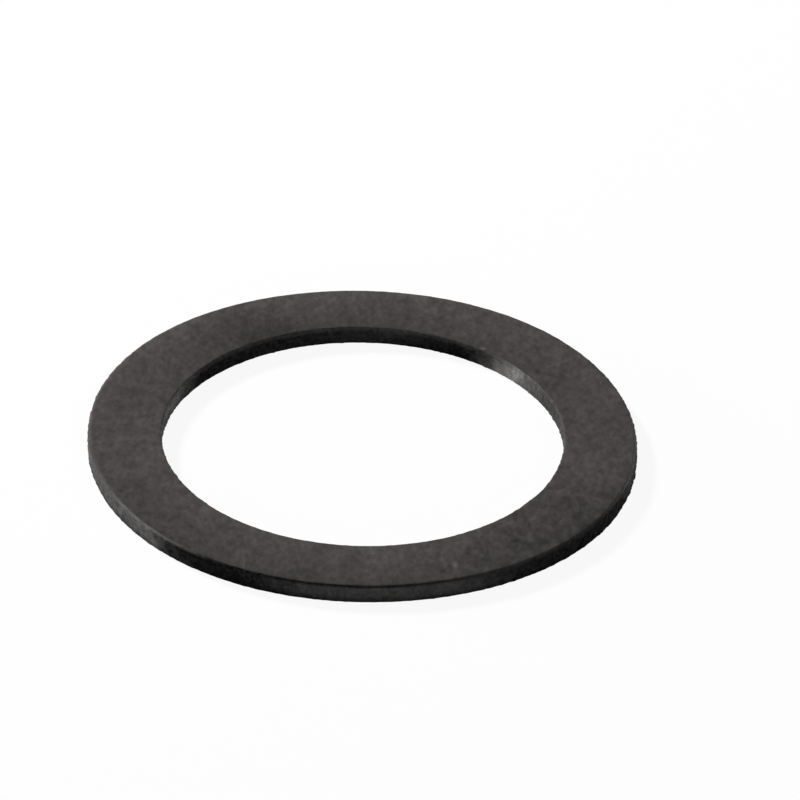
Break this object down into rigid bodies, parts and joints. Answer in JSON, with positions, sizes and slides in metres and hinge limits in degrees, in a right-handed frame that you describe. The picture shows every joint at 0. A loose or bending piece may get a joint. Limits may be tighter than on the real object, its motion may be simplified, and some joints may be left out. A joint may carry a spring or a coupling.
{
  "type": "toilet flush valve gasket",
  "caption": "Flat round rubber ring that seals a toilet's flush valve to the floor of its tank, with the valve's shank through its bore.",
  "frame": {"origin": "centre of the bore, on the plane of the lower face", "axes": "+Z along the bore's axis, from the lower face to the upper face; X and Y lie in the lower face, and the ring is the same all round"},
  "size_m": [0.09, 0.09, 0.0032],
  "materials": {
    "rubber": "matte"
  },
  "bodies": {
    "root": {"gasket": "rubber"}
  },
  "joints": []
}
